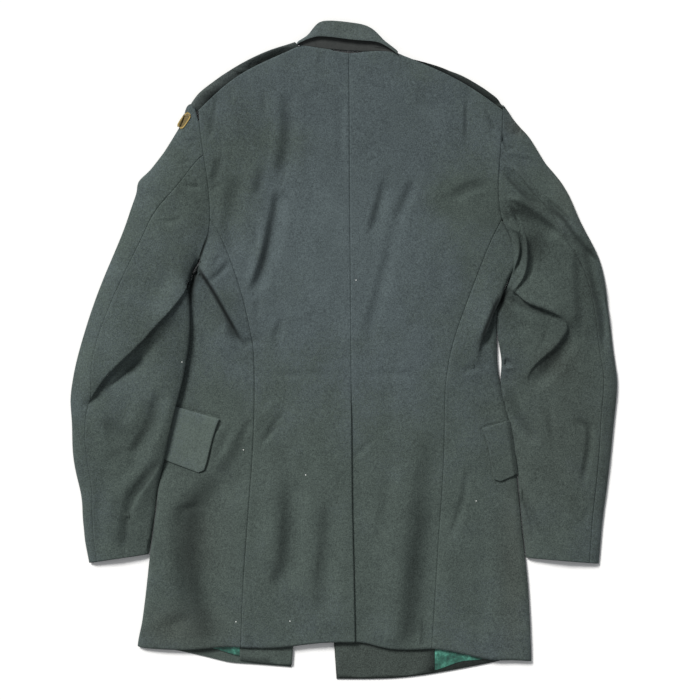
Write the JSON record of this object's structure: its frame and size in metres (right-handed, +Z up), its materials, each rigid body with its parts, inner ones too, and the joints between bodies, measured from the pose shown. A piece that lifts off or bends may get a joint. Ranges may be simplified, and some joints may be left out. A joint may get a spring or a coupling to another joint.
{
  "type": "military dress tunic",
  "caption": "Single-breasted wool dress tunic laid face down, its panelled back, vented skirt, notched collar, shoulder loops, hip flaps and both sleeves uppermost.",
  "frame": {"origin": "centre of the tunic's bounding box, on the surface it lies on", "axes": "+Z up, away from the surface and out of the tunic's back; +Y from the hem to the collar; +X towards the wearer's right sleeve"},
  "size_m": [0.729, 0.878, 0.0283],
  "materials": {
    "serge": "fine wool serge, grey-green, matt with a faint nap",
    "melton": "felted wool melton, dark grey",
    "satin": "satin lining, sea green, soft shine",
    "patch": "embroidered patch, olive gold",
    "brass": "polished, lightly worn"
  },
  "bodies": {
    "root": {"back_left": "serge", "back_right": "serge", "side_left": "serge", "side_right": "serge", "front_left": "serge", "front_right": "serge", "facing_left": "serge", "facing_right": "serge", "upper_sleeve_left": "serge", "upper_sleeve_right": "serge", "under_sleeve_left": "serge", "under_sleeve_right": "serge", "pocket_flap_left": "serge", "pocket_flap_right": "serge", "upper_collar": "serge", "shoulder_loop_left": "serge", "shoulder_loop_right": "serge", "lapel_left": "serge", "lapel_right": "serge", "collar_end_left": "serge", "collar_end_right": "serge", "under_collar": "melton", "lining_left": "satin", "lining_right": "satin", "sleeve_patch": "patch", "front_button_1": "brass", "front_button_2": "brass", "front_button_3": "brass", "front_button_4": "brass", "loop_button_left": "brass", "loop_button_right": "brass"}
  },
  "joints": []
}
